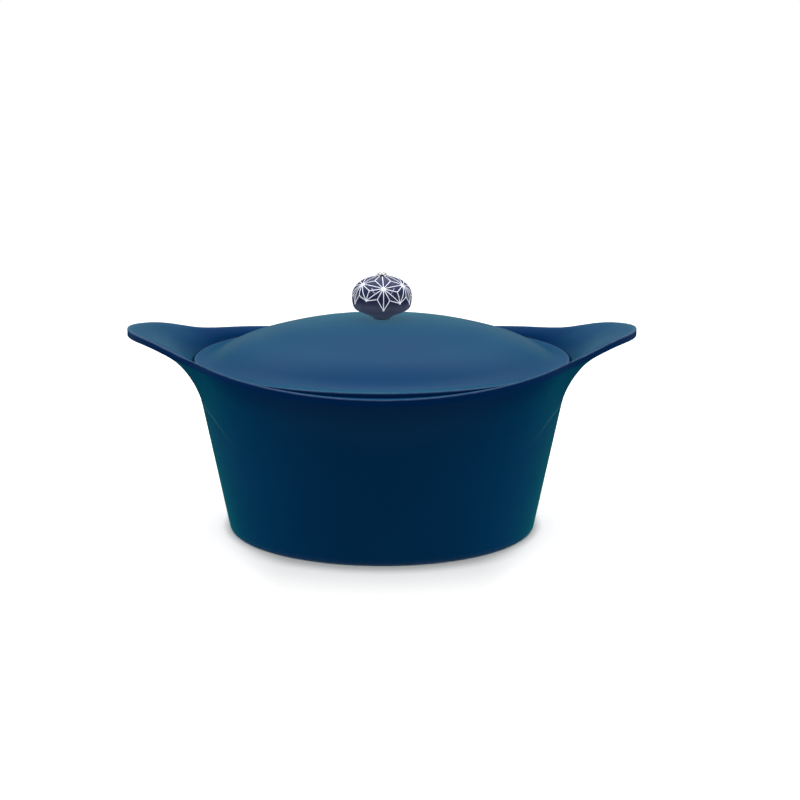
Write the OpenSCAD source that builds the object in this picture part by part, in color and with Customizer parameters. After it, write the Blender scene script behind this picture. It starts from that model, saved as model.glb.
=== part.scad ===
// Round casserole with two swept ears, a lift-off domed lid and a ceramic knob.
// Millimetres. Z is up, the ears lie along X, the origin is the centre of the base.

/* [Pot body] */
// Radius of the body at the foot
base_r = 99.1; // [97.1:0.5:101.1]
// Outward lean of the body wall, in degrees
wall_lean = 11.4; // [10.8:0.1:12]
// Thickness of the body wall
wall_t = 4.2; // [3.5:0.1:4.6]
// Thickness of the floor
floor_t = 5; // [4:0.1:7]
// Tangent length of the rounding between floor and wall
floor_round = 9; // [4:0.5:14]
// Height of the seat that carries the lid
seat_z = 106.5; // [105.5:0.1:106.5]
// Radius of the pocket that the lid drops into
seat_r = 121.6; // [121:0.1:122.5]

/* [Rim and ears] */
// Radius of the rim at the front and the back
rim_front_r = 127.5; // [126.5:0.1:129]
// Extra rim radius at the sides, below the ears
rim_side = 3.5; // [2:0.1:5]
// Reach of each ear beyond the round rim
ear_reach = 32; // [24:0.5:40]
// Half angle of the plan that each ear takes up, in degrees
ear_angle = 37; // [32:0.5:42]
// Sharpness of the ear in plan
ear_power = 1.5; // [1.2:0.05:1.9]
// Height of the rim at the front and the back
rim_front_z = 108.6; // [108.6:0.1:110]
// Rise of the ear tips above the front of the rim
ear_rise = 20.9; // [14.4:0.5:25.9]
// Extra crown on the outer part of each ear
ear_crown = 1.8; // [0:0.1:3]
// Height of the upright edge round the rim
rim_edge = 4.2; // [3.5:0.1:5]
// Extra edge height at the ear tips
tip_edge = 1; // [0:0.1:1.2]
// Height on the wall where the sweep of the ear starts
sweep_z = 85; // [82:0.5:88]
// How much lower the sweep starts at the front and the back
sweep_drop = 35; // [25:1:40]

/* [Base disc] */
// Diameter of the steel disc in the base
disc_d = 180; // [140:1:184]
// Thickness of the disc
disc_t = 1.2; // [0.8:0.1:1.6]
// Gap round the disc
disc_gap = 0.2; // [0.1:0.05:0.4]

/* [Lid] */
// Radius of the lid
lid_r = 120; // [119:0.1:120.4]
// Height of the top of the brim
brim_z = 111; // [110.8:0.1:111.4]
// Height of the top of the dome
dome_z = 136.5; // [134:0.5:140]
// Radius of the middle of the dome
dome_r = 285; // [240:1:340]
// How much the middle of the dome is flattened under the knob
dome_flat = 1.15; // [0:0.05:1.5]
// Radius of the shoulder of the dome
shoulder_r = 86; // [80:1:95]
// Thickness of the lid
lid_t = 4; // [3:0.1:4.2]
// Clearance under the brim
lid_gap = 0.3; // [0.3:0.05:0.4]
// Depth of the locating ring below the brim
ring_h = 6; // [4:0.5:8]

/* [Knob] */
// Diameter of the knob
knob_d = 38.2; // [34:0.2:42]
// Height of the knob
knob_h = 27.2; // [25:0.2:30]
// Height of the widest part above the foot
knob_mid = 14.6; // [13:0.2:16]
// Diameter of the knob foot
foot_d = 11; // [10.8:0.2:14]
// Bore through the knob
knob_bore = 4.6; // [4.4:0.1:5.2]
// Diameter of the screw shank
screw_d = 4; // [3:0.1:4.2]
// Diameter of the screw head
head_d = 6.4; // [5.6:0.1:8]
// Height of the screw head
head_h = 2.4; // [2:0.1:3.2]

/* [Hidden] */
$fn = 96;

ear_tip = rim_front_r + rim_side + ear_reach;
lean = tan(wall_lean);
in_off = wall_t / cos(wall_lean);
brim_under = seat_z + lid_gap;
disc_r = disc_d / 2;

// Colours
c_blue = [0.02, 0.17, 0.30];
c_lid = [0.13, 0.32, 0.46];
c_navy = [0.10, 0.11, 0.22];
c_steel = [0.75, 0.76, 0.78];
c_soft = [0.09, 0.09, 0.10];

// ---- general helpers ----
function mixv(a, b, t) = a + (b - a) * t;
function smooth01(x) = let(t = min(max(x, 0), 1)) t * t * (3 - 2 * t);
function bez3(a, b, c, d, t) = let(s = 1 - t)
    s * s * s * a + 3 * s * s * t * b + 3 * s * t * t * c + t * t * t * d;
function bez2(a, b, c, t) = let(s = 1 - t) s * s * a + 2 * s * t * b + t * t * c;

// ---- pot: every column of the shell is a profile in radius and height ----
// angle from the nearest ear, 0 at an ear and 90 at the front or back
function from_ear(a) = let(b = a % 180) b > 90 ? 180 - b : b;
// share of the ear in the plan, 1 at the tip
function ear_share(e) = e < ear_angle ? pow((1 + cos(180 * e / ear_angle)) / 2, ear_power) : 0;
function rim_r(e) = rim_front_r + rim_side * pow(cos(e), 2) + ear_reach * ear_share(e);
crown_x = 0.736 * ear_tip;
crown_w = 0.32 * ear_tip;
function rim_z(e) = let(x = rim_r(e) * cos(e))
    rim_front_z + ear_rise * pow(x / ear_tip, 2)
    + (x > crown_x ? ear_crown * pow(sin(180 * (x - crown_x) / crown_w), 2) : 0);
function edge_h(e) = rim_edge + tip_edge * pow(ear_share(e), 3);
function cone_r(z) = base_r + z * lean;
function sweep_start(e) = sweep_z - sweep_drop / (1 + pow(36 / max(e, 1), 5));
// angle of the underside where it meets the upright edge
function under_dir(e) = mixv(60, -0.5, pow(ear_share(e), 0.66));

// corner of the underside and the upright edge, rounded by a short curve
function low_corner(e) = [rim_r(e), rim_z(e) - edge_h(e)];
function low_len(e) = 0.8 * tan((90 - under_dir(e)) / 2);
function low_from(e) = low_corner(e) - low_len(e) * [cos(under_dir(e)), sin(under_dir(e))];
function low_to(e) = low_corner(e) + low_len(e) * [0, 1];

// upper side: from the pocket of the lid out to the rim
inner = [seat_r - 1, rim_front_z - 0.3];
function chord_dir(e) = atan2(rim_z(e) - inner[1], rim_r(e) - 1 - inner[0]);
function arch(e) = sin(min(chord_dir(e), 27) * 90 / 27);
function up_dir0(e) = chord_dir(e) + 22 * arch(e);
function up_dir1(e) = chord_dir(e) - 23 * arch(e);
function top_corner(e) = [rim_r(e), rim_z(e)];
function top_to(e) = top_corner(e) - 0.8 * [cos(up_dir1(e)), sin(up_dir1(e))];
function top_from(e) = top_corner(e) - 0.8 * [0, 1];

function sweep_pt(e, t) = let(
    z0 = sweep_start(e),
    p0 = [cone_r(z0), z0],
    p3 = low_from(e),
    d = norm(p3 - p0),
    share = pow(ear_share(e), 0.66),
    th = atan(lean + 0.085 * (1 - smooth01(e / 50))),
    p1 = p0 + d * mixv(0.5, 0.325, share) * [sin(th), cos(th)],
    p2 = p3 - d * mixv(0.25, 0.33, share) * [cos(under_dir(e)), sin(under_dir(e))])
    bez3(p0, p1, p2, p3, t);
function upper_pt(e, t) = let(
    q0 = top_to(e), d = norm(inner - q0),
    q1 = q0 - 0.36 * d * [cos(up_dir1(e)), sin(up_dir1(e))],
    q2 = inner + 0.33 * d * [cos(up_dir0(e)), sin(up_dir0(e))])
    bez3(q0, q1, q2, inner, t);

function column(a) = let(e = from_ear(a)) concat(
    [[base_r - 1.2, 0], [base_r - 0.3, 0.35], [cone_r(1.4), 1.4]],
    [for (i = [0 : 8]) sweep_pt(e, i / 8)],
    [for (i = [1 : 3]) bez2(low_from(e), low_corner(e), low_to(e), i / 3)],
    [for (i = [0 : 3]) bez2(top_from(e), top_corner(e), top_to(e), i / 3)],
    [for (i = [1 : 7]) upper_pt(e, i / 7)]);

// columns stand closer together round the ears
half_turn = concat([for (a = [0 : 3 : 39]) a], [for (a = [42 : 6 : 138]) a],
                   [for (a = [141 : 3 : 177]) a]);
turns = concat(half_turn, [for (a = half_turn) a + 180]);
cols = [for (a = turns) column(a)];
n_col = len(turns);
n_ring = len(cols[0]);

module swept_blank() {
    pts = [for (i = [0 : n_col - 1]) for (p = cols[i])
           [p[0] * cos(turns[i]), p[0] * sin(turns[i]), p[1]]];
    sides = [for (i = [0 : n_col - 1]) for (k = [0 : n_ring - 2])
             let(j = (i + 1) % n_col,
                 a = i * n_ring + k, b = j * n_ring + k)
             each [[a, a + 1, b + 1], [a, b + 1, b]]];
    foot = [[for (i = [0 : n_col - 1]) i * n_ring]];
    top = [[for (i = [n_col - 1 : -1 : 0]) i * n_ring + n_ring - 1]];
    polyhedron(points = pts, faces = concat(sides, foot, top));
}

// hollow of the pot: floor, rounded corner, wall, lid seat and lid pocket
module hollow() {
    rf = cone_r(floor_t) - in_off;
    c = [rf, floor_t];
    a = c - [floor_round, 0];
    b = c + floor_round * [sin(wall_lean), cos(wall_lean)];
    rotate_extrude()
        polygon(concat([[0, floor_t]],
            [for (i = [0 : 6]) bez2(a, c, b, i / 6)],
            [[cone_r(seat_z) - in_off, seat_z], [seat_r, seat_z],
             [seat_r, dome_z + 10], [0, dome_z + 10]]));
}

module pot_body() {
    color(c_blue)
    difference() {
        swept_blank();
        hollow();
        translate([0, 0, -1]) cylinder(h = disc_t + 1, r = disc_r + disc_gap);
    }
}

module base_disc() {
    color(c_steel)
    difference() {
        cylinder(h = disc_t, r = disc_r);
        // turned rings in the underside
        for (r = [20 : 16 : disc_r - 12])
            translate([0, 0, -1]) difference() {
                cylinder(h = 1.3, r = r + 0.6);
                translate([0, 0, -1]) cylinder(h = 4, r = r - 0.6);
            }
    }
}

// ---- lid: one turned profile ----
dome_end = 85;
th0 = asin(dome_end / dome_r);
z_end = dome_z - dome_r + dome_r * cos(th0);
flat_r = 64;
function dome_h(r) = dome_z - dome_r + sqrt(dome_r * dome_r - r * r)
    - dome_flat * pow(1 - pow(min(1, r / flat_r), 2), 2);
function shoulder(th) = [dome_end + shoulder_r * (sin(th) - sin(th0)),
                         z_end - shoulder_r * (cos(th0) - cos(th))];
// angle at which the shoulder comes down to the brim
th1 = acos(max(-1, min(1, cos(th0) - (z_end - brim_z - 0.35) / shoulder_r)));
foot_pt = shoulder(th1);
pad_r = 9;
lid_hole = 5;

module lid_shell() {
    top = concat(
        [[lid_hole / 2, dome_h(pad_r)], [pad_r, dome_h(pad_r)]],
        [for (r = [17 : 8.5 : dome_end]) [r, dome_h(r)]],
        [for (i = [1 : 6]) shoulder(mixv(th0, th1, i / 6))],
        [[foot_pt[0] + 1.2, brim_z]]);
    edge = [[lid_r - 1.2, brim_z], [lid_r - 0.35, brim_z - 0.35], [lid_r, brim_z - 1.2],
            [lid_r, brim_under + 0.8], [lid_r - 0.8, brim_under]];
    ring = [[cone_r(brim_under) - in_off - 1, brim_under],
            [cone_r(brim_under - ring_h) - in_off - 1, brim_under - ring_h + 0.6],
            [cone_r(brim_under - ring_h) - in_off - 1.8, brim_under - ring_h],
            [cone_r(brim_under - ring_h) - in_off - 3.4, brim_under - ring_h],
            [cone_r(brim_under - ring_h) - in_off - 4, brim_under - ring_h + 0.6],
            [cone_r(brim_under - ring_h) - in_off - 4.3, brim_under - 1]];
    under = concat(
        [for (i = [5 : -1 : 1]) let(th = mixv(th0, th1, i / 6))
            shoulder(th) - lid_t * [sin(th), cos(th)]],
        [for (r = [dome_end : -8.5 : 17]) let(th = asin(r / dome_r))
            [r, dome_h(r)] - lid_t * [sin(th), cos(th)]],
        [[pad_r + 1, dome_h(pad_r) - lid_t - 0.4], [lid_hole / 2, dome_h(pad_r) - lid_t - 0.4]]);
    color(c_lid)
    rotate_extrude() polygon(concat(top, edge, ring, under));
}

// ---- knob stack on the lid axis ----
pad_z = dome_h(pad_r);
gasket_t = 0.5;
foot_z = pad_z + gasket_t;
mid_z = foot_z + knob_mid;
up_h = knob_h - knob_mid;
knob_r = knob_d / 2;
// below the widest part the ball draws in to a short cone on the foot
function belly(t) = bez3([knob_r, mid_z], [knob_r, mid_z - 0.79 * knob_mid],
    [foot_d / 2, foot_z] + 0.88 * knob_mid * [cos(30), sin(30)], [foot_d / 2, foot_z], t);
seat_top = mid_z + up_h * sqrt(1 - pow(3.6 / knob_r, 2));

module knob_body() {
    upper = [for (i = [0 : 16]) let(r = 3.6 + (knob_r - 3.6) * sin(90 * i / 16))
             [r, mid_z + up_h * sqrt(max(0, 1 - pow(r / knob_r, 2)))]];
    lower = [for (i = [1 : 14]) belly(i / 14)];
    color(c_navy)
    rotate_extrude()
        polygon(concat([[knob_bore / 2, seat_top]], upper, lower, [[knob_bore / 2, foot_z]]));
}

stack_z = pad_z - lid_t - 0.4;
soft_t = 1.2;
washer_t = 1;
nut_h = 6.6;
nut_top = stack_z - soft_t - washer_t;

module knob_screw() {
    hr = head_d / 2;
    color(c_steel)
    difference() {
        union() {
            translate([0, 0, nut_top - 4.5]) cylinder(h = seat_top - nut_top + 5, d = screw_d);
            translate([0, 0, seat_top])
                rotate_extrude()
                    polygon(concat([[0, 0], [hr, 0], [hr, 0.5]],
                        [for (i = [1 : 8]) [hr * cos(90 * i / 8), 0.5 + (head_h - 0.5) * sin(90 * i / 8)]]));
        }
        // screwdriver slot
        translate([-0.45, -5, seat_top + head_h - 1.3]) cube([0.9, 10, 5]);
    }
}

module ring_piece(od, id, z, h) {
    translate([0, 0, z]) difference() {
        cylinder(h = h, d = od);
        translate([0, 0, -1]) cylinder(h = h + 2, d = id);
    }
}

module knob_gasket() { color(c_soft) ring_piece(10.4, 4.6, pad_z, gasket_t); }
module lid_gasket() { color(c_soft) ring_piece(14, 4.6, stack_z - soft_t, soft_t); }
module lid_washer() { color(c_steel) ring_piece(12, 4.4, nut_top, washer_t); }

module cap_nut() {
    color(c_steel)
    difference() {
        union() {
            translate([0, 0, nut_top - 3.2]) cylinder(h = 3.2, d = 7 / cos(30), $fn = 6);
            translate([0, 0, nut_top - 3.2])
                rotate_extrude()
                    polygon(concat([[0, 0.2], [3.3, 0.2], [3.3, 0]],
                        [for (i = [1 : 8]) [3.3 * cos(90 * i / 8), -(nut_h - 3.2) * sin(90 * i / 8)]]));
        }
        translate([0, 0, nut_top - 4.8]) cylinder(h = 6, d = screw_d + 0.2);
    }
}

pot_body();
base_disc();
lid_shell();
knob_body();
knob_screw();
knob_gasket();
lid_gasket();
lid_washer();
cap_nut();
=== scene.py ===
import math

import bpy
from mathutils import Matrix, Vector


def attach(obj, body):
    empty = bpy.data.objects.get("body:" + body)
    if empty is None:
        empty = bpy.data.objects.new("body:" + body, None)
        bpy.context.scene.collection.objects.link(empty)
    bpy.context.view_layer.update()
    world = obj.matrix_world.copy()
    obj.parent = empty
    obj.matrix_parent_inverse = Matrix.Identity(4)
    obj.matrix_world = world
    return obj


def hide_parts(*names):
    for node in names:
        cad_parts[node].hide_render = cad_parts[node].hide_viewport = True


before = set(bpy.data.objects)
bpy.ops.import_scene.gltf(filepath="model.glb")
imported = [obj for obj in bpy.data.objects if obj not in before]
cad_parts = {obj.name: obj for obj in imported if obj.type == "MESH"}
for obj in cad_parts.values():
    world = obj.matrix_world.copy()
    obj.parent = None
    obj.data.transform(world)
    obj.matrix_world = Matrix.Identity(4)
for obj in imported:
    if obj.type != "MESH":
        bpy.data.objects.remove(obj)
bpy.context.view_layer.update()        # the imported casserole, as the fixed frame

MM = 0.001
scene = bpy.context.scene


# ---------------------------------------------------------------- small helpers
def cosd(a):
    return math.cos(math.radians(a))


def sind(a):
    return math.sin(math.radians(a))


def tand(a):
    return math.tan(math.radians(a))


def mixf(a, b, t):
    return a + (b - a) * t


def smooth01(x):
    t = min(max(x, 0.0), 1.0)
    return t * t * (3 - 2 * t)


def bez2(a, b, c, t):
    s = 1 - t
    return tuple(s * s * p + 2 * s * t * q + t * t * r for p, q, r in zip(a, b, c))


def bez3(a, b, c, d, t):
    s = 1 - t
    return tuple(s * s * s * p + 3 * s * s * t * q + 3 * s * t * t * r + t * t * t * u
                 for p, q, r, u in zip(a, b, c, d))


def make_object(name, verts, faces, mats, face_mats=None, edge=None, sharp=40.0, shade=None, crease=None):
    """A smooth mesh object from points in millimetres, with optional edge (wear and painted highlight), painted shade
    and crease (painted highlight) values.
    """
    me = bpy.data.meshes.new(name)
    me.from_pydata([(x * MM, y * MM, z * MM) for x, y, z in verts], [], faces)
    for m in mats:
        me.materials.append(m)
    if face_mats:
        me.polygons.foreach_set("material_index", face_mats)
    if edge:
        me.attributes.new("edge", "FLOAT", "POINT").data.foreach_set("value", edge)
    if shade:
        me.attributes.new("shade", "FLOAT", "POINT").data.foreach_set("value", shade)
    if crease:
        me.attributes.new("crease", "FLOAT", "POINT").data.foreach_set("value", crease)
    me.shade_smooth()
    me.set_sharp_from_angle(angle=math.radians(sharp))
    me.update()
    ob = bpy.data.objects.new(name, me)
    scene.collection.objects.link(ob)
    return ob


def turned(rows, n, closed):
    """Turn a profile of (radius, height, ...) rows about Z. An open profile ends on the axis at both ends."""
    verts, faces, src = [], [], []
    pts = rows if closed else rows[1:-1]
    m = len(pts)
    for i in range(n):
        c, s = math.cos(2 * math.pi * i / n), math.sin(2 * math.pi * i / n)
        for p in pts:
            verts.append((p[0] * c, p[0] * s, p[1]))
    for i in range(n):
        j = (i + 1) % n
        for k in range(m if closed else m - 1):
            q = (k + 1) % m
            faces.append((i * m + k, j * m + k, j * m + q, i * m + q))
            src.append(k)
    if not closed:
        lo, hi = len(verts), len(verts) + 1
        verts += [(0, 0, rows[0][1]), (0, 0, rows[-1][1])]
        for i in range(n):
            j = (i + 1) % n
            faces.append((lo, j * m, i * m))
            src.append(0)
            faces.append((hi, i * m + m - 1, j * m + m - 1))
            src.append(m - 1)
    return verts, faces, src


# ---------------------------------------------------------------- node helpers
def new_material(name):
    m = bpy.data.materials.new(name)
    m.use_nodes = True
    return m, m.node_tree, m.node_tree.nodes["Principled BSDF"]


def put(nt, sock, value):
    if isinstance(value, bpy.types.NodeSocket):
        nt.links.new(value, sock)
    else:
        sock.default_value = value


def add(nt, kind, ins=None, **props):
    n = nt.nodes.new(kind)
    for k, v in props.items():
        setattr(n, k, v)
    for k, v in (ins or {}).items():
        put(nt, n.inputs[k], v)
    return n


def object_co(nt):
    return add(nt, "ShaderNodeTexCoord").outputs["Object"]


def noise(nt, co, scale, detail=2.0, rough=0.5, distortion=0.0):
    return add(nt, "ShaderNodeTexNoise", {"Vector": co, "Scale": scale, "Detail": detail,
               "Roughness": rough, "Distortion": distortion}).outputs["Fac"]


def remap(nt, x, a, b, c, d, kind="LINEAR"):
    return add(nt, "ShaderNodeMapRange", {"Value": x, "From Min": a, "From Max": b, "To Min": c,
               "To Max": d}, interpolation_type=kind).outputs["Result"]


def math_node(nt, op, a, b=0.0):
    return add(nt, "ShaderNodeMath", {0: a, 1: b}, operation=op).outputs[0]


def mix_colour(nt, fac, a, b, kind="MIX"):
    n = add(nt, "ShaderNodeMix", data_type="RGBA", blend_type=kind)
    put(nt, n.inputs["Factor"], fac)
    put(nt, n.inputs["A"], a)
    put(nt, n.inputs["B"], b)
    return n.outputs["Result"]


def ramp(nt, fac, stops):
    n = add(nt, "ShaderNodeValToRGB", {"Fac": fac})
    el = n.color_ramp.elements
    el[0].position, el[0].color = stops[0][0], stops[0][1]
    el[1].position, el[1].color = stops[-1][0], stops[-1][1]
    for p, c in stops[1:-1]:
        e = el.new(p)
        e.color = c
    return n.outputs["Color"]


def bump(nt, height, distance, strength=1.0, normal=None):
    n = add(nt, "ShaderNodeBump", {"Height": height, "Distance": distance, "Strength": strength})
    if normal is not None:
        nt.links.new(normal, n.inputs["Normal"])
    return n.outputs["Normal"]


def radius_xy(nt, co):
    """Distance from the Z axis, for turned and brushed patterns."""
    sep = add(nt, "ShaderNodeSeparateXYZ", {0: co})
    x2 = math_node(nt, "MULTIPLY", sep.outputs["X"], sep.outputs["X"])
    y2 = math_node(nt, "MULTIPLY", sep.outputs["Y"], sep.outputs["Y"])
    return math_node(nt, "SQRT", math_node(nt, "ADD", x2, y2)), sep


def rgb(r, g, b):
    return (r, g, b, 1.0)


# ---------------------------------------------------------------- materials
def satin_paint(name, sheen_shade_level=0.0):
    """Sprayed and baked blue coat: a slow drift of tone, a fine grain and a soft sheen, rubbed thinner and paler on the
    edges, partly real rubbing and partly a painted highlight; painted shade makes it darker and less shiny in recesses
    and corners. The second argument, from 0 to 1, takes the sheen down as painted shade."""
    m, nt, b = new_material(name)
    co = object_co(nt)
    drift = noise(nt, co, 17.0, 3.0, 0.55)
    grain = noise(nt, co, 1700.0, 2.0, 0.6)
    peel = noise(nt, co, 520.0, 1.5, 0.5)
    tone = ramp(nt, drift, [(0.30, rgb(0.0001, 0.0292, 0.0940)), (0.70, rgb(0.0002, 0.0322, 0.1020))])
    fleck = remap(nt, grain, 0.35, 0.70, 0.0, 0.16)
    tone = mix_colour(nt, fleck, tone, rgb(0.0006, 0.0400, 0.1200))
    edge = add(nt, "ShaderNodeAttribute", attribute_name="edge").outputs["Fac"]
    shade = add(nt, "ShaderNodeAttribute", attribute_name="shade").outputs["Fac"]
    rub = remap(nt, noise(nt, co, 190.0, 4.0, 0.65), 0.32, 0.72, 0.35, 1.0)
    wear_and_highlight = math_node(nt, "MULTIPLY", edge, rub)
    # painted shade: the colour is drawn towards a deeper blue where the shade attribute marks the band, hollows,
    # corners and the gap by the lid
    tone = mix_colour(nt, shade, tone, rgb(0.0001, 0.0182, 0.0780))
    # paler edges: partly rubbed wear, partly a painted highlight along the rounded rim top and brim edge
    tone = mix_colour(nt, math_node(nt, "MULTIPLY", wear_and_highlight, 0.60), tone, rgb(0.072, 0.088, 0.168))
    # painted highlight: a teal colour along the raised crease ridge, as strong as the crease attribute
    crease = add(nt, "ShaderNodeAttribute", attribute_name="crease").outputs["Fac"]
    tone = mix_colour(nt, crease, tone, rgb(0.022, 0.115, 0.160))
    put(nt, b.inputs["Base Color"], tone)
    rough = math_node(nt, "ADD", remap(nt, drift, 0.3, 0.7, 0.31, 0.36),
                      remap(nt, grain, 0.3, 0.7, -0.04, 0.05))
    put(nt, b.inputs["Roughness"], math_node(nt, "SUBTRACT", rough, math_node(nt, "MULTIPLY", wear_and_highlight, 0.05)))
    # painted shade: the specular reflection drops where the shade attribute is high
    put(nt, b.inputs["Specular IOR Level"], remap(nt, shade, 0.0, 1.0, 0.027, 0.004))
    # painted shade: the shaded copies of this coat carry less sheen
    b.inputs["Sheen Weight"].default_value = mixf(0.167, 0.03, sheen_shade_level)
    b.inputs["Sheen Roughness"].default_value = 0.35
    b.inputs["Sheen Tint"].default_value = rgb(0.03, 1.0, 0.62)
    n1 = bump(nt, peel, 0.00006, 0.35)
    put(nt, b.inputs["Normal"], bump(nt, grain, 0.00002, 0.45, n1))
    return m


def dark_coating(name):
    """Charcoal non-stick lining: fine speckle and the turned marks left in the metal below it."""
    m, nt, b = new_material(name)
    co = object_co(nt)
    rad, sep = radius_xy(nt, co)
    speck = add(nt, "ShaderNodeTexVoronoi", {"Vector": co, "Scale": 620.0, "Randomness": 1.0}).outputs["Distance"]
    cloud = noise(nt, co, 30.0, 3.0)
    pick = noise(nt, co, 260.0, 2.0)
    tone = ramp(nt, cloud, [(0.3, rgb(0.018, 0.019, 0.021)), (0.7, rgb(0.026, 0.027, 0.030))])
    dot = math_node(nt, "MULTIPLY", remap(nt, speck, 0.10, 0.20, 1.0, 0.0),
                    remap(nt, pick, 0.52, 0.60, 0.0, 1.0))
    tone = mix_colour(nt, math_node(nt, "MULTIPLY", dot, 0.8), tone, rgb(0.17, 0.18, 0.19))
    put(nt, b.inputs["Base Color"], tone)
    ring = math_node(nt, "SINE", math_node(nt, "MULTIPLY", rad, 5200.0))
    put(nt, b.inputs["Roughness"], remap(nt, cloud, 0.3, 0.7, 0.34, 0.46))
    b.inputs["Specular IOR Level"].default_value = 0.4
    n1 = bump(nt, ring, 0.00002, 0.30)
    put(nt, b.inputs["Normal"], bump(nt, noise(nt, co, 900.0, 2.0), 0.00002, 0.4, n1))
    return m


def navy_glaze(name):
    """Glossy navy glaze on ceramic: faint mottling and pinholes, turning paler slate and glowing towards the foot,
    partly thinner glaze and partly painted light from below.
    """
    m, nt, b = new_material(name)
    co = object_co(nt)
    height = add(nt, "ShaderNodeSeparateXYZ", {0: co}).outputs["Z"]
    cloud = noise(nt, co, 120.0, 3.0, 0.6)
    pins = add(nt, "ShaderNodeTexVoronoi", {"Vector": co, "Scale": 900.0}).outputs["Distance"]
    # paler towards the foot: partly thinner glaze, partly painted light standing in for light thrown up from the lid
    thinness_and_glow = math_node(nt, "ADD", remap(nt, height, 0.1380, 0.1490, 1.0, 0.0, "SMOOTHSTEP"),
                     remap(nt, cloud, 0.3, 0.7, -0.06, 0.06))
    thinness_and_glow = math_node(nt, "MINIMUM", math_node(nt, "MAXIMUM", thinness_and_glow, 0.0), 1.0)
    tone = ramp(nt, cloud, [(0.28, rgb(0.0085, 0.0115, 0.0300)), (0.72, rgb(0.0125, 0.0160, 0.0390))])
    tone = mix_colour(nt, thinness_and_glow, tone, rgb(0.080, 0.083, 0.115))
    tone = mix_colour(nt, remap(nt, pins, 0.04, 0.09, 0.35, 0.0), tone, rgb(0.002, 0.002, 0.008))
    put(nt, b.inputs["Base Color"], tone)
    put(nt, b.inputs["Roughness"], remap(nt, cloud, 0.3, 0.7, 0.06, 0.11))
    b.inputs["Specular IOR Level"].default_value = 0.055
    # painted glow: an emission towards the foot stands in for light from below
    b.inputs["Emission Color"].default_value = rgb(0.43, 0.59, 1.0)
    put(nt, b.inputs["Emission Strength"], math_node(nt, "MULTIPLY", thinness_and_glow, 0.055))
    n1 = bump(nt, noise(nt, co, 240.0, 2.0), 0.00006, 0.30)
    put(nt, b.inputs["Normal"], bump(nt, pins, 0.00002, 0.15, n1))
    return m


def white_slip(name):
    """White slip trailed on the glaze: slightly uneven, thinner in places, with a painted glow: an even emission that
    stands in for light falling on the lines.
    """
    m, nt, b = new_material(name)
    co = object_co(nt)
    thinness_and_glow = noise(nt, co, 700.0, 3.0, 0.6)
    put(nt, b.inputs["Base Color"], ramp(nt, thinness_and_glow, [(0.25, rgb(0.22, 0.23, 0.275)), (0.55, rgb(0.275, 0.285, 0.33)),
                                                    (0.8, rgb(0.31, 0.31, 0.35))]))
    # painted light: the slip glows so the lines stay bright where little light reaches them
    b.inputs["Emission Color"].default_value = rgb(0.86, 0.91, 1.0)
    b.inputs["Emission Strength"].default_value = 0.40
    b.inputs["Specular IOR Level"].default_value = 0.2
    put(nt, b.inputs["Roughness"], remap(nt, thinness_and_glow, 0.3, 0.7, 0.42, 0.28))
    put(nt, b.inputs["Normal"], bump(nt, thinness_and_glow, 0.00003, 0.5))
    return m


def bright_metal(name):
    """Polished plated steel with hairline scratches."""
    m, nt, b = new_material(name)
    co = object_co(nt)
    stretch = add(nt, "ShaderNodeMapping", {"Vector": co, "Scale": (300.0, 5200.0, 900.0)}).outputs["Vector"]
    hair = noise(nt, stretch, 1.0, 3.0, 0.6)
    haze = noise(nt, co, 500.0, 2.0)
    put(nt, b.inputs["Base Color"], ramp(nt, haze, [(0.3, rgb(0.31, 0.31, 0.33)), (0.7, rgb(0.36, 0.36, 0.375))]))
    b.inputs["Metallic"].default_value = 1.0
    put(nt, b.inputs["Roughness"], math_node(nt, "ADD", remap(nt, hair, 0.4, 0.75, 0.10, 0.26),
                                              remap(nt, haze, 0.3, 0.7, 0.0, 0.05)))
    put(nt, b.inputs["Normal"], bump(nt, hair, 0.000006, 0.35))
    return m


def brushed_steel(name, turned_lines=2600.0):
    """Satin steel turned on a lathe: fine concentric lines, a few wandering scratches, slight heat tint."""
    m, nt, b = new_material(name)
    co = object_co(nt)
    rad, sep = radius_xy(nt, co)
    line_co = add(nt, "ShaderNodeCombineXYZ", {0: math_node(nt, "MULTIPLY", rad, turned_lines), 1: 0.0, 2: 0.0}).outputs[0]
    lines = noise(nt, line_co, 1.0, 4.0, 0.7)
    scratch = add(nt, "ShaderNodeTexWave", {"Vector": co, "Scale": 38.0, "Distortion": 22.0, "Detail": 3.0,
                  "Detail Scale": 1.3}, wave_type="BANDS").outputs["Fac"]
    cut = remap(nt, scratch, 0.985, 1.0, 0.0, 1.0)
    tint = noise(nt, co, 14.0, 2.0)
    tone = ramp(nt, tint, [(0.3, rgb(0.50, 0.49, 0.48)), (0.7, rgb(0.58, 0.58, 0.585))])
    tone = mix_colour(nt, remap(nt, lines, 0.3, 0.7, 0.0, 0.35), tone, rgb(0.40, 0.40, 0.41))
    tone = mix_colour(nt, math_node(nt, "MULTIPLY", cut, 0.5), tone, rgb(0.78, 0.78, 0.79))
    put(nt, b.inputs["Base Color"], tone)
    b.inputs["Metallic"].default_value = 1.0
    put(nt, b.inputs["Roughness"], remap(nt, lines, 0.25, 0.75, 0.26, 0.44))
    n1 = bump(nt, lines, 0.00002, 0.5)
    put(nt, b.inputs["Normal"], bump(nt, cut, 0.00002, 0.4, n1))
    return m


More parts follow.
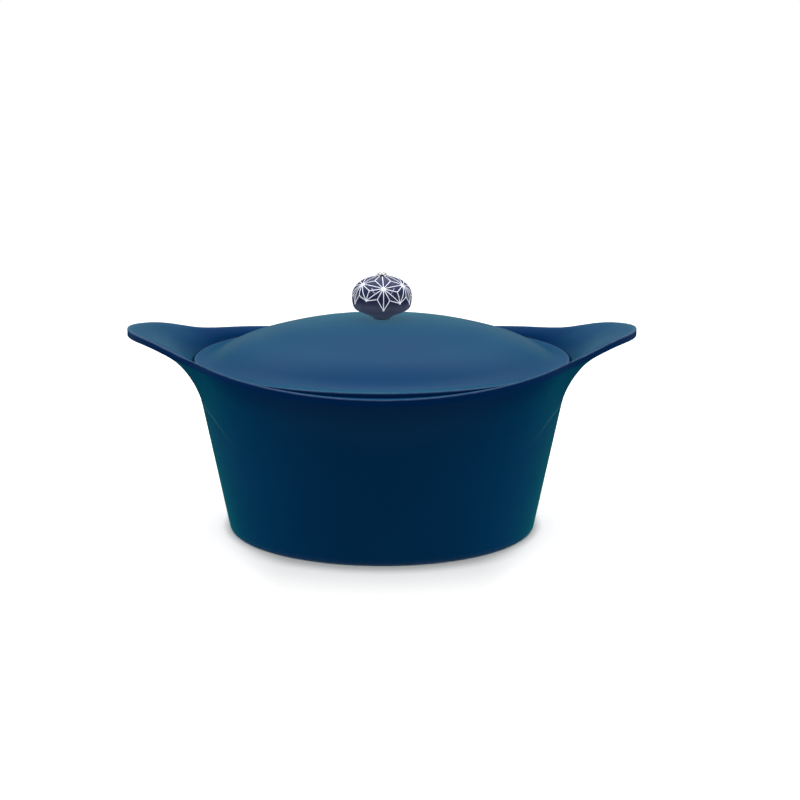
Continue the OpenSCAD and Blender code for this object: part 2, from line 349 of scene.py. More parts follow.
def soft_rubber(name):
    """Black silicone: matte, faintly dusty, with a fine moulded grain."""
    m, nt, b = new_material(name)
    co = object_co(nt)
    dust = noise(nt, co, 420.0, 4.0, 0.65)
    put(nt, b.inputs["Base Color"], ramp(nt, dust, [(0.3, rgb(0.010, 0.010, 0.012)), (0.75, rgb(0.026, 0.026, 0.028))]))
    put(nt, b.inputs["Roughness"], remap(nt, dust, 0.3, 0.7, 0.62, 0.80))
    put(nt, b.inputs["Normal"], bump(nt, noise(nt, co, 2600.0, 2.0), 0.00002, 0.5))
    return m


# lit and shaded copies of the blue paint: each higher step has less sheen, as painted shade; the lid's crown steps and
# its brim side are shaded copies too
PAINT_STEPS = 6
POT_PAINT = [satin_paint("pot_paint_blue_%d" % k, k / (PAINT_STEPS - 1)) for k in range(PAINT_STEPS)]
LID_STEPS = 5
LID_PAINT = [satin_paint("lid_paint_blue_%d" % k, 0.075 * k) for k in range(LID_STEPS)]
LID_PAINT.append(satin_paint("lid_paint_blue_side", 1.0))
LINING = dark_coating("lining_charcoal")
GLAZE = navy_glaze("knob_glaze_navy")
SLIP = white_slip("knob_slip_white")
CHROME = bright_metal("screw_bright")
STEEL = brushed_steel("base_brushed")
WASHER = brushed_steel("washer_brushed", 5200.0)
RUBBER = soft_rubber("seal_black")


# ---------------------------------------------------------------- pot body
BASE_R, LEAN, FLOOR_T, FLOOR_ROUND = 99.1, tand(11.4), 5.0, 9.0
SEAT_Z, SEAT_R = 106.5, 121.6
EAR_TIP = 163.0
IN_OFF = 4.2 / cosd(11.4)
INNER = (SEAT_R - 1, 108.3)


def ear_share(e):
    return ((1 + cosd(180 * e / 37)) / 2) ** 1.5 if e < 37 else 0.0


def rim_r(e):
    return 127.5 + 3.5 * cosd(e) ** 2 + 32 * ear_share(e)


def rim_z(e):
    x = rim_r(e) * cosd(e)
    crown_x, crown_w = 0.736 * EAR_TIP, 0.32 * EAR_TIP
    z = 108.6 + 20.9 * (x / EAR_TIP) ** 2
    return z + 1.8 * sind(180 * (x - crown_x) / crown_w) ** 2 if x > crown_x else z


def cone_r(z):
    return BASE_R + z * LEAN


def pot_rows(e):
    """One column of the pot in (radius, height, edge wear and painted highlight, painted shade, painted crease
    highlight), from under the base, up the outside, over the rim and down inside to the middle of the floor. e is the
    angle from the nearest ear."""
    share = ear_share(e)
    share6 = share ** 0.66
    under = mixf(60, -0.5, share6)
    ud = (cosd(under), sind(under))
    rr, rz = rim_r(e), rim_z(e)
    lowc = (rr, rz - 4.2 - share ** 3)
    ll = 0.8 * tand((90 - under) / 2)
    low_from = (lowc[0] - ll * ud[0], lowc[1] - ll * ud[1])
    low_to = (lowc[0], lowc[1] + ll)
    chord = math.degrees(math.atan2(rz - INNER[1], rr - 1 - INNER[0]))
    arch = sind(min(chord, 27) * 90 / 27)
    d0, d1 = chord + 22 * arch, chord - 23 * arch
    top_to = (rr - 0.8 * cosd(d1), rz - 0.8 * sind(d1))
    top_from = (rr, rz - 0.8)
    z0 = 85.0 - 35 / (1 + (36 / max(e, 1.0)) ** 5)
    p0 = (cone_r(z0), z0)
    dist = math.dist(p0, low_from)
    th = math.atan(LEAN + 0.085 * (1 - smooth01(e / 50)))
    k1 = mixf(0.5, 0.325, share6)
    p1 = (p0[0] + dist * k1 * math.sin(th), p0[1] + dist * k1 * math.cos(th))
    k2 = dist * mixf(0.25, 0.33, share6)
    p2 = (low_from[0] - k2 * ud[0], low_from[1] - k2 * ud[1])
    crease = 1 - smooth01((e - 22) / 18)
    # painted shade: darker where the ear roots meet the rim, and on the flank just under the band at front and back
    root_shade = 0.74 * smooth01((e - 5) / 19)
    flank_shade = smooth01((e - 28) / 22)
    begin = mixf(0.05, -0.12, smooth01((e - 8) / 18))

    rows = []

    def row(p, edge=0.0, shade=0.0, crease_highlight=0.0):
        rows.append((p[0], p[1], edge, shade, crease_highlight))

    row((0, 1.2))
    for p in ((30, 1.2), (60, 1.2), (84, 1.2), (89.9, 1.2), (90.2, 0.9), (90.2, 0.3), (90.5, 0.0), (94, 0.0), (97.4, 0.0)):
        row(p)
    for i in range(1, 6):
        row(bez2((97.4, 0.0), (98.95, 0.0), (cone_r(1.7), 1.7), i / 5), 0.55 if i < 5 else 0.25)
    for i in range(1, 23):
        z = mixf(1.7, z0 - 1.2, i / 22)
        row((cone_r(z), z))
    # the fine raised ridge where the sweep of the ear leaves the wall; its teal colour is a painted highlight along it
    bead = 0.18 * crease
    for dz, lift in ((-0.75, 0.25), (-0.4, 0.75), (0.0, 1.0), (0.4, 0.75), (0.75, 0.25)):
        row((cone_r(z0 + dz) + bead * lift * cosd(11.4), z0 + dz - bead * lift * sind(11.4)), 0.0, 0.0, mixf(0.3, 0.9, smooth01((e - 5) / 10)) * crease * lift)
    t0 = 1.2 / (3 * dist * k1)
    # painted shade on the flank just under the band, away from the ears
    for i in range(0, 27):
        row(bez3(p0, p1, p2, low_from, mixf(t0, 1.0, i / 26)), 0.0, 0.7 * flank_shade * smooth01((i / 26 - 0.5) / 0.5))
    # painted shade: the upright band and the corner into it are darkened
    for i in range(1, 7):
        row(bez2(low_from, lowc, low_to, i / 6), 0.0, i / 6)
    for i in range(1, 5):
        row((rr, mixf(low_to[1], top_from[1], i / 4)), 0.0, 1.0)
    # rounded top edge: rubbed wear and a painted highlight, with a little painted shade where it leaves the band
    for i in range(1, 8):
        row(bez2(top_from, (rr, rz), top_to, i / 7), 1.0 if i < 7 else 0.7, 0.5 if i == 1 else 0.0)
    d = math.dist(top_to, INNER)
    q1 = (top_to[0] - 0.36 * d * cosd(d1), top_to[1] - 0.36 * d * sind(d1))
    q2 = (INNER[0] + 0.33 * d * cosd(d0), INNER[1] + 0.33 * d * sind(d0))

    def upper(t):
        return bez3(top_to, q1, q2, INNER, t)

    def t_at(radius):
        lo, hi = 0.0, 1.0
        for _ in range(40):
            mid = (lo + hi) / 2
            lo, hi = (mid, hi) if upper(mid)[0] > radius else (lo, mid)
        return lo

    t_in = t_at(SEAT_R + 0.6)
    # painted shade over the top of the rim and the ears, deepening towards the lid and the ear roots
    for i in range(1, 25):
        row(upper(t_in * i / 24), 0.25 * (i == 1), max(root_shade * smooth01((i / 24 - begin) / 0.4), 0.22 + 0.42 * smooth01((i / 24 - 0.45) / 0.5)))
    lip = upper(t_in)
    lip_c = upper(t_at(SEAT_R))
    # painted shade on the inner lip, the seat wall and the seat
    for i in range(1, 6):
        row(bez2(lip, lip_c, (SEAT_R, lip_c[1] - 0.6), i / 5), 0.2, 0.8)
    row((SEAT_R, SEAT_Z + 0.5), 0.0, 1.0)
    for i in range(1, 4):
        row(bez2((SEAT_R, SEAT_Z + 0.5), (SEAT_R, SEAT_Z), (SEAT_R - 0.5, SEAT_Z), i / 3), 0.0, 1.0)
    rs = cone_r(SEAT_Z) - IN_OFF
    row((mixf(SEAT_R, rs, 0.5), SEAT_Z), 0.0, 1.0)
    row((rs + 0.8, SEAT_Z), 0.2, 0.8)
    first_lining = len(rows)
    wall = (sind(11.4), cosd(11.4))
    for i in range(1, 6):
        row(bez2((rs + 0.8, SEAT_Z), (rs, SEAT_Z), (rs - 0.8 * wall[0], SEAT_Z - 0.8 * wall[1]), i / 5), 0.6)
    c = (cone_r(FLOOR_T) - IN_OFF, FLOOR_T)
    a = (c[0] - FLOOR_ROUND, FLOOR_T)
    b = (c[0] + FLOOR_ROUND * wall[0], FLOOR_T + FLOOR_ROUND * wall[1])
    s = (rs - 0.8 * wall[0], SEAT_Z - 0.8 * wall[1])
    for i in range(1, 17):
        row((mixf(s[0], b[0], i / 16), mixf(s[1], b[1], i / 16)))
    for i in range(1, 13):
        row(bez2(b, c, a, i / 12))
    for r in (78.0, 66.0, 52.0, 36.0, 18.0):
        row((r, FLOOR_T))
    row((0, FLOOR_T))
    return rows, first_lining


def build_pot():
    n = 480
    cache = {}
    cols = []
    for i in range(n):
        a = 360.0 * i / n
        b = a % 180
        e = round(180 - b if b > 90 else b, 4)
        if e not in cache:
            cache[e] = pot_rows(e)
        cols.append((a, cache[e][0]))
    lining = cache[0.0][1]
    m = len(cols[0][1]) - 2
    verts, edge, shade, crease_highlight, faces, mats = [], [], [], [], [], []
    for a, rows in cols:
        c, s = cosd(a), sind(a)
        for p in rows[1:-1]:
            verts.append((p[0] * c, p[0] * s, p[1]))
            edge.append(p[2])
            shade.append(p[3])
            crease_highlight.append(p[4])
    lo, hi = len(verts), len(verts) + 1
    verts += [(0, 0, cols[0][1][0][1]), (0, 0, cols[0][1][-1][1])]
    edge += [0.0, 0.0]
    shade += [0.0, 0.0]
    crease_highlight += [0.0, 0.0]
    for i in range(n):
        j = (i + 1) % n
        for k in range(m - 1):
            faces.append((i * m + k, j * m + k, j * m + k + 1, i * m + k + 1))
            deep = (shade[i * m + k] + shade[i * m + k + 1] + shade[j * m + k] + shade[j * m + k + 1]) / 4
            mats.append(PAINT_STEPS if k + 1 >= lining - 1 else int(deep * (PAINT_STEPS - 1) + 0.5))
        faces.append((lo, j * m, i * m))
        mats.append(0)
        faces.append((hi, i * m + m - 1, j * m + m - 1))
        mats.append(PAINT_STEPS)
    return make_object("pot_casting", verts, faces, POT_PAINT + [LINING], mats, edge, 50.0, shade, crease_highlight)


# ---------------------------------------------------------------- lid
BRIM_Z, LID_R, LID_T, LID_UNDER, RING_H = 111.0, 120.0, 4.0, 106.8, 6.0
DOME_Z, DOME_R, DOME_END, SHOULDER_R, PAD_R = 136.5, 285.0, 85.0, 86.0, 9.0


def dome_h(r):
    flat = 1.15 * (1 - min(1.0, r / 64.0) ** 2) ** 2
    return DOME_Z - DOME_R + math.sqrt(DOME_R ** 2 - r * r) - flat


TH0 = math.asin(DOME_END / DOME_R)
Z_END = dome_h(DOME_END)
TH1 = math.acos(math.cos(TH0) - (Z_END - BRIM_Z - 0.35) / SHOULDER_R)
PAD_Z = dome_h(PAD_R)


def shoulder(th, drop=0.0):
    return (DOME_END + SHOULDER_R * (math.sin(th) - math.sin(TH0)) - drop * math.sin(th),
            Z_END - SHOULDER_R * (math.cos(TH0) - math.cos(th)) - drop * math.cos(th))


def build_lid():
    rows = []

    def row(p, edge=0.0, lining=0, shade=0.0):
        rows.append((p[0], p[1], edge, lining, shade))

    wall_r = cone_r(LID_UNDER) - IN_OFF - 1
    foot_r = cone_r(LID_UNDER - RING_H) - IN_OFF - 1
    foot_z = LID_UNDER - RING_H
    # underside of the dome, from the screw hole outwards
    under_z = PAD_Z - LID_T - 0.4
    row((2.5, under_z + 0.3), 0.3, 1)
    row((2.8, under_z), 0.3, 1)
    row((9.2, under_z), 0.0, 1)
    row((10.4, under_z + 0.12), 0.0, 1)
    r = 14.0
    while r < DOME_END:
        th = math.asin(r / DOME_R)
        row((r - LID_T * math.sin(th), dome_h(r) - LID_T * math.cos(th)), 0.0, 1)
        r += 4.0
    last = shoulder(mixf(TH0, TH1, 5 / 6), LID_T)
    for i in range(0, 16):
        row(shoulder(mixf(TH0, TH1, i / 18), LID_T), 0.0, 1)
    # hollow corner into the locating ring
    corner = (foot_r - 3.3, LID_UNDER - 1)
    for i in range(0, 5):
        row(bez2(last, (corner[0], last[1] - 3.0), corner, i / 4), 0.0, 1)
    row((foot_r - 3.05, foot_z + 1.2), 0.0, 1)
    for i in range(1, 5):
        row(bez2((foot_r - 3.05, foot_z + 0.9), (foot_r - 3.0, foot_z), (foot_r - 2.2, foot_z), i / 4), 0.6, 1)
    row((foot_r - 1.0, foot_z), 0.2, 1)
    for i in range(1, 5):
        row(bez2((foot_r - 0.8, foot_z), (foot_r, foot_z), (foot_r + 0.18, foot_z + 0.9), i / 4), 0.6)
    row((mixf(foot_r, wall_r, 0.55), mixf(foot_z, LID_UNDER, 0.55)))
    row((wall_r - 0.12, LID_UNDER - 0.6))
    for i in range(1, 4):
        row(bez2((wall_r - 0.12, LID_UNDER - 0.6), (wall_r, LID_UNDER), (wall_r + 0.6, LID_UNDER), i / 3))
    row((117.4, LID_UNDER))
    row((LID_R - 0.9, LID_UNDER), 0.2)
    # rounded edge of the brim: its side carries painted shade for the gap, its top edge rubbed wear and a painted
    # highlight
    for i in range(1, 6):
        row(bez2((LID_R - 0.9, LID_UNDER), (LID_R, LID_UNDER), (LID_R, LID_UNDER + 0.9), i / 5), 0.1, 0, 1.0)
    row((LID_R, mixf(LID_UNDER, BRIM_Z, 0.45)), 0.0, 0, 1.0)
    for i in range(0, 8):
        row(bez2((LID_R, BRIM_Z - 0.7), (LID_R, BRIM_Z), (LID_R - 0.7, BRIM_Z), i / 7), 0.9 if i else 0.0, 0, 0.0 if i else 0.8)
    row((LID_R - 1.2, BRIM_Z), 0.3)
    row((LID_R - 2.4, BRIM_Z))
    # wide hollow where the dome runs out into the brim
    th2 = math.radians(30.0)
    foot = shoulder(th2)
    meet = (foot[0] + (foot[1] - BRIM_Z) / math.tan(th2), BRIM_Z)
    for i in range(0, 15):
        row(bez2((meet[0] + 5.0, BRIM_Z), meet, foot, i / 14))
    for i in range(1, 25):
        row(shoulder(mixf(th2, TH0, i / 24)))
    # painted shade on the dome: a little darker and less shiny round the knob and over the middle of the dome
    r = DOME_END - 4.0
    while r > PAD_R + 1.5:
        row((r, dome_h(r)), 0.0, 0, 0.15 * (1 - smooth01((r - 24) / 22)) + 0.10 * smooth01((r - 24) / 22) * (1 - smooth01((r - 66) / 15)))
        r -= 4.0
    row((PAD_R, PAD_Z))
    row((5.0, PAD_Z))
    row((2.8, PAD_Z), 0.3)
    row((2.5, PAD_Z - 0.3), 0.3)
    n = 288
    verts, faces, src = turned(rows, n, True)
    edge = [p[2] for p in rows] * n
    shade = [p[4] for p in rows] * n
    mats = []
    # the crown takes shaded copies of the paint with less sheen towards the knob, and the brim side the most shaded
    # copy: painted shade
    for k in src:
        p, q = rows[k], rows[(k + 1) % len(rows)]
        crown = int((LID_STEPS - 1) * (1 - smooth01(((p[0] + q[0]) / 2 - 58) / 24)) + 0.5)
        mats.append(LID_STEPS + 1 if p[3] and q[3] else LID_STEPS if p[4] + q[4] > 1.0 else crown)
    return make_object("lid_casting", verts, faces, LID_PAINT + [LINING], mats, edge, 50.0, shade)


# ---------------------------------------------------------------- knob
FOOT_Z = PAD_Z + 0.5
KNOB_H, KNOB_R, KNOB_MID, FOOT_R = 27.2, 19.1, 14.6, 5.5
MID_Z = FOOT_Z + KNOB_MID
UP_H = KNOB_H - KNOB_MID
SEAT_TOP = MID_Z + UP_H * math.sqrt(1 - (3.6 / KNOB_R) ** 2)


def belly(t):
    """The underside of the knob in (radius, height from the middle), from the widest part to the foot."""
    return bez3((KNOB_R, 0.0), (KNOB_R, -0.79 * KNOB_MID),
                (FOOT_R + 0.88 * KNOB_MID * cosd(30), -KNOB_MID + 0.88 * KNOB_MID * sind(30)), (FOOT_R, -KNOB_MID), t)


BELLY = [belly(i / 400) for i in range(401)]


def knob_r(z):
    """Radius of the knob at a height from its middle."""
    if z >= 0:
        return KNOB_R * math.sqrt(max(0.0, 1 - (z / UP_H) ** 2))
    lo, hi = 0, 400
    while hi - lo > 1:
        mid = (lo + hi) // 2
        lo, hi = (mid, hi) if BELLY[mid][1] > z else (lo, mid)
    a, b = BELLY[lo], BELLY[hi]
    return mixf(a[0], b[0], min(1.0, max(0.0, (a[1] - z) / (a[1] - b[1]))))


def build_knob():
    rows = [(2.3, FOOT_Z + 0.3), (2.6, FOOT_Z), (FOOT_R - 0.7, FOOT_Z)]
    edge = belly(0.975)
    for i in range(1, 5):
        p = bez2((FOOT_R - 0.7, -KNOB_MID), (FOOT_R, -KNOB_MID), edge, i / 4)
        rows.append((p[0], p[1] + MID_Z))
    for i in range(1, 40):
        p = belly(0.975 * (1 - i / 39))
        rows.append((p[0], p[1] + MID_Z))
    for i in range(1, 33):
        s = mixf(90.0, math.degrees(math.asin(3.75 / KNOB_R)), i / 32)
        rows.append((KNOB_R * sind(s), MID_Z + UP_H * cosd(s)))
    rows += [(3.6, SEAT_TOP), (2.6, SEAT_TOP), (2.3, SEAT_TOP - 0.3)]
    verts, faces, src = turned(rows, 192, True)
    return make_object("knob_ceramic", verts, faces, [GLAZE], sharp=50.0)


def on_knob(p, lift=0.0):
    """Push a point, given from the knob's middle, out to the glazed surface, plus a lift along the normal."""
    flat = math.hypot(p[0], p[1])
    lo, hi = 0.0, 40.0 / max(math.hypot(flat, p[2]), 1e-9)
    for _ in range(44):
        k = (lo + hi) / 2
        z = p[2] * k
        out = z > UP_H or z < -KNOB_MID or flat * k > knob_r(z)
        lo, hi = (lo, k) if out else (k, hi)
    q = Vector((p[0] * lo, p[1] * lo, p[2] * lo))
    r = math.hypot(q.x, q.y)
    if q.z >= 0:
        n = Vector((q.x / KNOB_R ** 2, q.y / KNOB_R ** 2, q.z / UP_H ** 2)).normalized()
    else:
        slope = (knob_r(q.z + 0.02) - knob_r(q.z - 0.02)) / 0.04
        n = Vector((q.x / r, q.y / r, -slope)).normalized()
    return q + n * lift, n


def build_slip():
    """Traditional hemp-leaf lattice: stars of twelve rays on a six-sided net round the screw."""

    def at(az, lat):
        a = math.radians(az - 90)
        v = Vector((math.cos(a) * cosd(lat) * KNOB_R, math.sin(a) * cosd(lat) * KNOB_R, sind(lat) * UP_H))
        return on_knob(v)[0]

    top = Vector((0, 0, UP_H))
    # the stars sit a little unevenly, as on a piece finished by hand; the back repeats the front
    half_stars = ((3.3, 29.8), (57.2, 36.1), (125.7, 39.6))
    half_mids = ((36.6, -14.0), (92.5, -7.0), (149.2, -5.5))
    half_tips = ((3.1, -31.0), (68.0, -21.0), (116.0, -19.0))
    ring1 = [at(a + t, h) for t in (0, 180) for a, h in half_stars]
    ring2 = [at(a + t, h) for t in (0, 180) for a, h in half_mids]
    ring3 = [at(a + t, h) for t in (0, 180) for a, h in half_tips]

    def centre(*pts):
        return on_knob(sum(pts, Vector()) / len(pts))[0]

    lines = []
    for k in range(6):
        n0, n1, n5 = ring1[k], ring1[(k + 1) % 6], ring1[k - 1]
        m0, m5, low = ring2[k], ring2[k - 1], ring3[k]
        c_top, c_mid = centre(top, n0, n1), centre(n0, n1, m0)
        c_r, c_l = centre(n0 * 1.13, m0, low * 0.87), centre(n0 * 1.13, m5, low * 0.87)
        lines += [(top, n0), (n0, n1), (n0, m0), (n0, m5), (n0, low)]
        lines += [(top, c_top), (n0, c_top), (n1, c_top)]
        lines += [(n0, c_mid), (n1, c_mid), (m0, c_mid)]
        lines += [(n0, c_r), (m0, c_r), (low, c_r), (n0, c_l), (m5, c_l), (low, c_l)]
    verts, faces = [], []
    half, high, sunk = 0.26, 0.11, -0.06
    shape = ((-1.0, sunk), (1.0, sunk), (0.86, high * 0.55), (0.45, high), (-0.45, high), (-0.86, high * 0.55))
    for u, v in lines:
        steps = max(4, int((u - v).length / 0.7))
        path = []
        for i in range(steps + 1):
            q, nrm = on_knob(u.lerp(v, i / steps))
            if math.hypot(q.x, q.y) > 3.62 or q.z < 0:
                path.append((q, nrm))
        first = len(verts)
        for i, (q, nrm) in enumerate(path):
            ahead = path[min(i + 1, len(path) - 1)][0] - path[max(i - 1, 0)][0]
            side = ahead.cross(nrm).normalized()
            for w, h in shape:
                p = q + side * (w * half)
                flat, _ = on_knob(p, h)
                verts.append((flat.x, flat.y, flat.z + MID_Z))
        m = len(shape)
        for i in range(len(path) - 1):
            for k in range(m):
                a, b = first + i * m + k, first + i * m + (k + 1) % m
                faces.append((a, b, b + m, a + m))
        faces.append(tuple(first + k for k in reversed(range(m))))
        faces.append(tuple(first + (len(path) - 1) * m + k for k in range(m)))
    # small blobs of slip where the rays meet
    for c, size in [(p, 1.4) for p in ring1] + [(p, 0.8) for p in ring2] + [(p, 0.65) for p in ring3]:
        q, nrm = on_knob(c)
        e1 = nrm.orthogonal().normalized()
        e2 = nrm.cross(e1)
        first = len(verts)
        rings = ((1.0, sunk), (0.97, 0.06), (0.75, 0.15), (0.4, 0.19))
        for f, h in rings:
            for i in range(16):
                a = 2 * math.pi * i / 16
                flat, _ = on_knob(q + (e1 * math.cos(a) + e2 * math.sin(a)) * size * f, h)
                verts.append((flat.x, flat.y, flat.z + MID_Z))
        for k in range(len(rings) - 1):
            for i in range(16):
                j = (i + 1) % 16
                faces.append((first + k * 16 + i, first + k * 16 + j, first + (k + 1) * 16 + j, first + (k + 1) * 16 + i))
        faces.append(tuple(first + i for i in reversed(range(16))))
        faces.append(tuple(first + 48 + i for i in range(16)))
    return make_object("knob_slip_lines", verts, faces, [SLIP], sharp=60.0)


# ---------------------------------------------------------------- fasteners
STACK_Z = PAD_Z - LID_T - 0.4
NUT_TOP = STACK_Z - 1.2 - 1.0


def build_screw():
    hr, hh = 3.2, 2.4
    zb = NUT_TOP - 4.5
    rows = [(0, zb), (1.6, zb), (2.0, zb + 0.4), (2.0, SEAT_TOP - 0.2), (2.0, SEAT_TOP), (2.9, SEAT_TOP),
            (hr, SEAT_TOP + 0.15), (hr, SEAT_TOP + 0.5)]
    rows += [(hr * cosd(90 * i / 16), SEAT_TOP + 0.5 + (hh - 0.5) * sind(90 * i / 16)) for i in range(1, 16)]
    rows += [(0, SEAT_TOP + hh)]
    verts, faces, src = turned(rows, 72, False)
    screw = make_object("knob_screw_bright", verts, faces, [CHROME], sharp=40.0)
    z0, z1 = SEAT_TOP + hh - 1.3, SEAT_TOP + hh + 3
    box = [(x, y, z) for x in (-0.45, 0.45) for y in (-6, 6) for z in (z0, z1)]
    quads = [(0, 1, 3, 2), (4, 6, 7, 5), (0, 4, 5, 1), (2, 3, 7, 6), (0, 2, 6, 4), (1, 5, 7, 3)]
    cutter = make_object("slot_cutter", box, quads, [CHROME], sharp=30.0)
    mod = screw.modifiers.new("slot", "BOOLEAN")
    mod.operation, mod.object, mod.solver = "DIFFERENCE", cutter, "EXACT"
    bev = screw.modifiers.new("soft_edges", "BEVEL")
    bev.width, bev.segments, bev.limit_method, bev.angle_limit = 0.00008, 2, "ANGLE", math.radians(40)
    deps = bpy.context.evaluated_depsgraph_get()
    done = bpy.data.meshes.new_from_object(screw.evaluated_get(deps))
    screw.modifiers.clear()
    old = screw.data
    screw.data = done
    done.name = "knob_screw_bright"
    bpy.data.meshes.remove(old)
    bpy.data.objects.remove(cutter)
    done.shade_smooth()
    done.set_sharp_from_angle(angle=math.radians(35))
    return screw


def build_nut():
    """Domed cap nut, 7 mm across flats, with chamfered corners and a short collar under the dome."""
    n = 144

    def hexr(a):
        return 3.5 / cosd((a % 60) - 30)

    zt, zh = NUT_TOP, NUT_TOP - 3.2
    levels = [(zt - 0.0, 3.45), (zt - 0.3, 4.1), (zt - 0.6, 9.0), (zt - 1.6, 9.0), (zh + 0.7, 9.0), (zh + 0.45, 4.05),
              (zh + 0.2, 3.6), (zh, 3.3)]
    dome = [(zh - 3.4 * sind(90 * i / 14), 3.3 * cosd(90 * i / 14)) for i in range(1, 14)]
    verts, faces = [], []
    prof = levels + dome
    m = len(prof) + 3
    for i in range(n):
        a = 360.0 * i / n
        c, s = cosd(a), sind(a)
        col = [(2.1, zt - 4.2), (2.1, zt - 0.25), (2.35, zt)]
        col += [(min(hexr(a), r), z) for z, r in prof]
        for r, z in col:
            verts.append((r * c, r * s, z))
    for i in range(n):
        j = (i + 1) % n
        for k in range(m - 1):
            faces.append((i * m + k, i * m + k + 1, j * m + k + 1, j * m + k))
    tip, blind = len(verts), len(verts) + 1
    verts += [(0, 0, zh - 3.4), (0, 0, zt - 4.2)]
    for i in range(n):
        j = (i + 1) % n
        faces.append((tip, j * m + m - 1, i * m + m - 1))
        faces.append((blind, i * m, j * m))
    return make_object("cap_nut_bright", verts, faces, [CHROME], sharp=28.0)


# ---------------------------------------------------------------- put the pieces on their bodies
pot = build_pot()
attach(pot, "pot")
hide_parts("pot_body")

lid = build_lid()
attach(lid, "lid")
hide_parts("lid_shell")

knob = build_knob()
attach(knob, "lid")
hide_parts("knob_body")

slip = build_slip()
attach(slip, "lid")

screw = build_screw()
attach(screw, "lid")
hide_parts("knob_screw")

nut = build_nut()
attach(nut, "lid")
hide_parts("cap_nut")

# the satin lid mirrors the white wall, not the small knob
for ob in (knob, slip, screw):
    ob.visible_glossy = False
    ob.visible_shadow = False

for name, m in (("base_disc", STEEL), ("lid_washer", WASHER), ("knob_gasket", RUBBER), ("lid_gasket", RUBBER)):
    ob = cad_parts[name]
    ob.data.materials.clear()
    ob.data.materials.append(m)


# ---------------------------------------------------------------- studio
def build_world():
    """Soft studio: a broad white ceiling, a pale wall behind, a strip light level with the pot on
    each side and a glow from the white table below."""
    w = bpy.data.worlds.new("studio")
    scene.world = w
    w.use_nodes = True
    nt = w.node_tree
    nt.nodes.clear()
    d = add(nt, "ShaderNodeSeparateXYZ", {0: add(nt, "ShaderNodeTexCoord").outputs["Generated"]})
    x, y, z = d.outputs
    ax = math_node(nt, "ABSOLUTE", x)

    def glow(fac, colour):
        n = add(nt, "ShaderNodeVectorMath", {0: colour, "Scale": fac}, operation="SCALE")
        return n.outputs[0]

    def plus(a, b):
        return add(nt, "ShaderNodeVectorMath", {0: a, 1: b}, operation="ADD").outputs[0]

    def between(v, a, b, c, d):
        return math_node(nt, "MULTIPLY", remap(nt, v, a, b, 0.0, 1.0, "SMOOTHSTEP"),
                         remap(nt, v, c, d, 1.0, 0.0, "SMOOTHSTEP"))

    def rise(v, a, b):
        return remap(nt, v, a, b, 0.0, 1.0, "SMOOTHSTEP")

    def both(a, b):
        return math_node(nt, "MULTIPLY", a, b)

    light = glow(rise(z, 0.55, 0.85), (3.155, 3.155, 3.155))
    light = plus(light, glow(both(rise(y, 0.3, 0.7), between(z, 0.35, 0.55, 0.70, 0.90)), (1.50, 1.50, 1.50)))
    light = plus(light, glow(both(rise(y, 0.3, 0.8), between(z, -0.05, 0.10, 0.25, 0.45)), (0.42, 0.42, 0.42)))
    light = plus(light, glow(both(rise(y, 0.4, 0.9), between(z, -0.30, -0.10, 0.05, 0.25)), (0.09, 0.09, 0.09)))
    light = plus(light, glow(both(rise(ax, 0.50, 0.95), between(z, -0.30, -0.10, 0.10, 0.35)), (3.76, 3.76, 3.76)))
    light = plus(light, glow(remap(nt, z, -0.95, -0.70, 1.0, 0.0, "SMOOTHSTEP"), (1.26, 1.26, 1.26)))
    lit = add(nt, "ShaderNodeBackground", {"Color": light, "Strength": 1.0})
    seen = add(nt, "ShaderNodeBackground", {"Color": rgb(1.0, 1.0, 1.0), "Strength": 1.0})
    mixed = add(nt, "ShaderNodeMixShader", {0: add(nt, "ShaderNodeLightPath").outputs["Is Camera Ray"],
                1: lit.outputs[0], 2: seen.outputs[0]})
    out = add(nt, "ShaderNodeOutputWorld")
    nt.links.new(mixed.outputs[0], out.inputs["Surface"])


build_world()


def knob_strip(name, middle, along, length, power):
    """A strip light overhead to one side that only gives the glazed knob its soft streak."""
    data = bpy.data.lights.new(name, "AREA")
    data.shape, data.size, data.size_y, data.energy = "RECTANGLE", length, 0.07, power
    ob = bpy.data.objects.new(name, data)
    scene.collection.objects.link(ob)
    out = Vector(middle).normalized()
    run = Vector(along)
    run = (run - out * run.dot(out)).normalized()
    ob.matrix_world = Matrix.Translation(out + Vector((0, 0, MID_Z * MM))) @ Matrix((run, out.cross(run), out)).transposed().to_4x4()
    ob.light_linking.receiver_collection = GLAZED
    ob.visible_camera = False
    return ob


GLAZED = bpy.data.collections.new("glazed")
GLAZED.objects.link(knob)
GLAZED.objects.link(slip)
knob_strip("strip_right", (0.564, -0.345, 0.751), (0.01, -0.907, -0.421), 0.85, 11.5)
knob_strip("strip_left", (-0.470, -0.400, 0.786), (0.04, -0.900, -0.440), 0.75, 12.0)

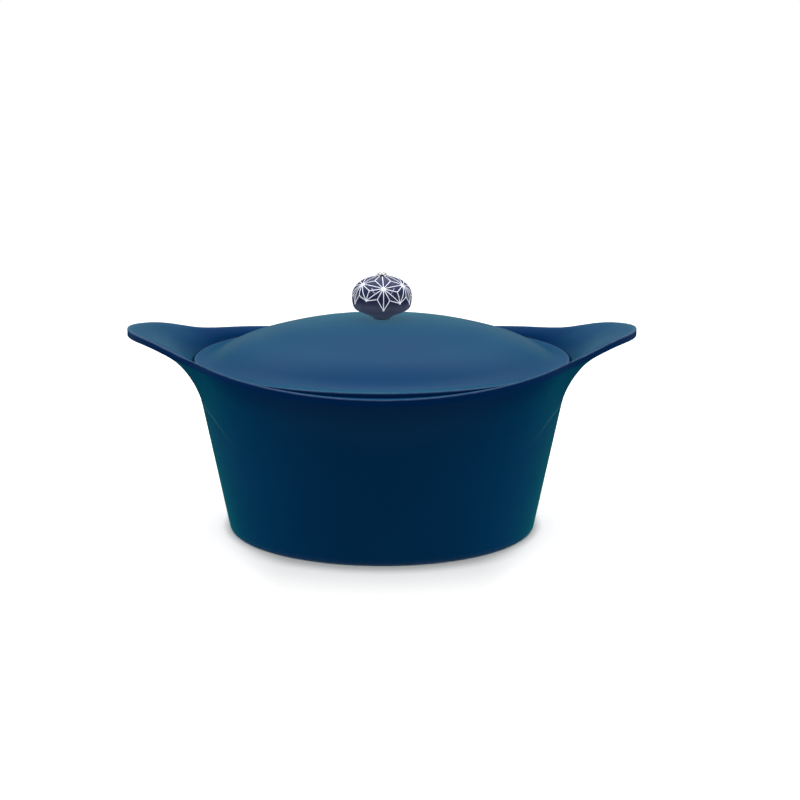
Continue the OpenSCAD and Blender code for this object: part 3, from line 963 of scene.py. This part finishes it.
floor = make_object("floor", [(-2e4, -2e4, -0.05), (2e4, -2e4, -0.05), (2e4, 2e4, -0.05), (-2e4, 2e4, -0.05)],
                    [(0, 1, 2, 3)], [])
fm, fnt, fb = new_material("floor_pale")
floor_co = object_co(fnt)
put(fnt, fb.inputs["Base Color"], ramp(fnt, noise(fnt, floor_co, 3.0, 2.0), [(0.3, rgb(0.525, 0.525, 0.525)),
                                                                            (0.7, rgb(0.535, 0.535, 0.535))]))
fb.inputs["Roughness"].default_value = 0.9
fb.inputs["Specular IOR Level"].default_value = 0.0
fb.inputs["Emission Color"].default_value = rgb(1.0, 1.0, 1.0)
# the white table glows further out; the glow fades away close round the foot, further out in front and behind than at
# the sides: a painted contact shadow
floor_r, floor_xyz = radius_xy(fnt, floor_co)
glow_front = remap(fnt, floor_r, 0.1005, 0.1175, 0.0, 0.30, "SMOOTHSTEP")
glow_side = remap(fnt, floor_r, 0.0955, 0.107, 0.0, 0.56, "SMOOTHSTEP")
to_side = remap(fnt, math_node(fnt, "ABSOLUTE", floor_xyz.outputs["X"]), 0.055, 0.105, 0.0, 1.0, "SMOOTHSTEP")
glow_mix = add(fnt, "ShaderNodeMix", {"Factor": to_side, "A": glow_front, "B": glow_side}, data_type="FLOAT")
put(fnt, fb.inputs["Emission Strength"], glow_mix.outputs["Result"])
fm.cycles.emission_sampling = "NONE"
floor.data.materials.append(fm)
floor.visible_diffuse = False
floor.visible_glossy = False
floor.visible_shadow = False

cam_data = bpy.data.cameras.new("camera")
cam = bpy.data.objects.new("camera", cam_data)
scene.collection.objects.link(cam)
cam.location = (0.0, -1.15433, 0.32508)
cam.rotation_euler = (math.radians(77.067), 0.0, 0.0)
cam_data.sensor_width = 36.0
cam_data.lens = 82.064
cam_data.shift_x = 0.0226
cam_data.shift_y = 0.0411
cam_data.clip_end = 100.0
scene.camera = cam

scene.view_settings.view_transform = "Standard"
scene.view_settings.look = "None"
scene.view_settings.exposure = 0.0
scene.view_settings.gamma = 1.0
